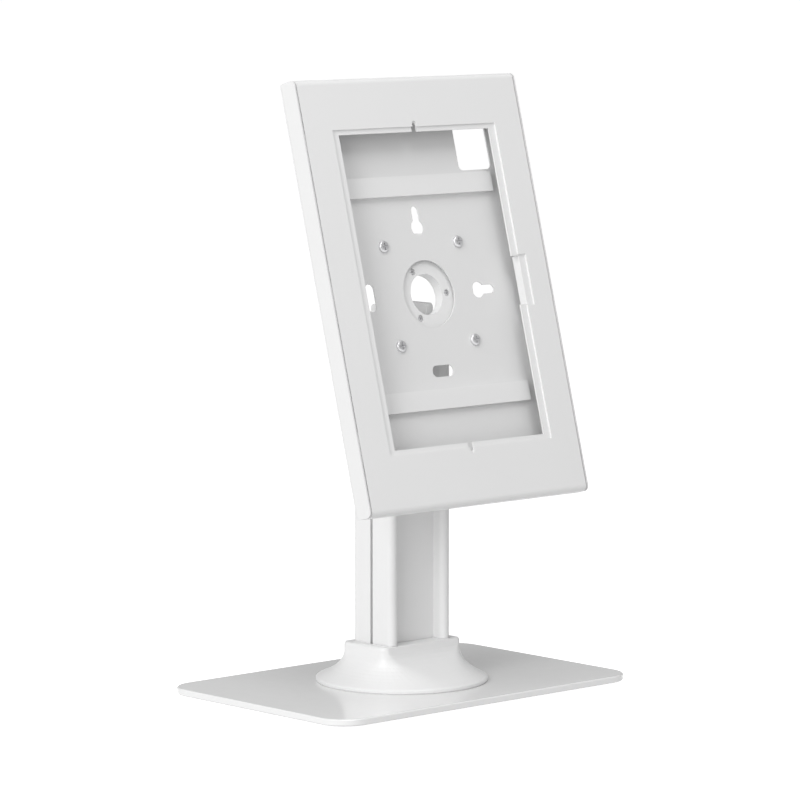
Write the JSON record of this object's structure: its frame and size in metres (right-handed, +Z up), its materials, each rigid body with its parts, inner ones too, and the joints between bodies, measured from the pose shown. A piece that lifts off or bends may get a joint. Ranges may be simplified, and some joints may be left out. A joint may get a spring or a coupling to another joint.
{
  "type": "tablet security kiosk stand",
  "caption": "Tabletop kiosk stand: flat base, slotted column with collar, tilting and turning head, and a lockable windowed enclosure for a tablet.",
  "frame": {"origin": "on the table, under the centre of the base plate, at the underside of the rubber feet", "axes": "X to the right as seen from the front, the window faces -Y and leans back, +Z up along the column"},
  "size_m": [0.3, 0.2, 0.4605],
  "materials": {
    "white_plate": "glossy white powder coat",
    "white_coat": "fine satin white powder coat",
    "white_moulding": "smooth white moulded plastic",
    "zinc": "bright zinc plating",
    "lock_alloy": "polished nickel plating",
    "black_rubber": "matt black rubber",
    "black_nylon": "matt black nylon"
  },
  "bodies": {
    "stand": {"base_plate": "white_plate", "base_feet": "black_rubber", "column": "white_coat", "column_foot_screws": "zinc", "collar": "white_moulding", "cable_grommet": "black_rubber", "tilt_yoke": "white_coat", "yoke_screws": "zinc", "tilt_bolt": "zinc", "tilt_nut": "zinc", "bolt_washers": "zinc", "brake_washers": "black_nylon"},
    "head": {"tilt_head": "white_coat", "turn_stop_pin": "zinc", "rear_slip_washer": "black_nylon", "front_slip_washer": "black_nylon", "retaining_disc": "white_coat", "disc_screws": "zinc"},
    "enclosure": {"mounting_plate": "white_coat", "mounting_screws": "zinc", "rear_tray": "white_coat", "upper_support_bar": "white_coat", "lower_support_bar": "white_coat", "lock_body": "zinc", "lock_nut": "zinc"},
    "cover": {"front_cover": "white_coat", "bezel_frame": "white_coat", "bezel_nuts": "zinc", "cover_hooks": "zinc", "lock_strike": "zinc"},
    "lock": {"lock_plug": "lock_alloy", "lock_cam": "zinc", "cam_screw": "zinc"}
  },
  "joints": [
    {"name": "tilt", "type": "hinge", "parent": "stand", "child": "head", "pos_m": [0, 0, 0.273], "axis": [-1, 0, 0], "range_deg": [-15, 45]},
    {"name": "turn", "type": "hinge", "parent": "head", "child": "enclosure", "pos_m": [0, -0.02406, 0.29912], "axis": [0, -0.9659, 0.2588], "range_deg": [-90, 90]},
    {"name": "cover_swing", "type": "hinge", "parent": "enclosure", "child": "cover", "pos_m": [-0.10875, -0.04628, 0.30507], "axis": [0, -0.2588, -0.9659], "range_deg": [0, 60]},
    {"name": "lock_turn", "type": "hinge", "parent": "enclosure", "child": "lock", "pos_m": [0.09445, -0.06409, 0.16905], "axis": [0, -0.9659, 0.2588], "range_deg": [0, 90]}
  ]
}
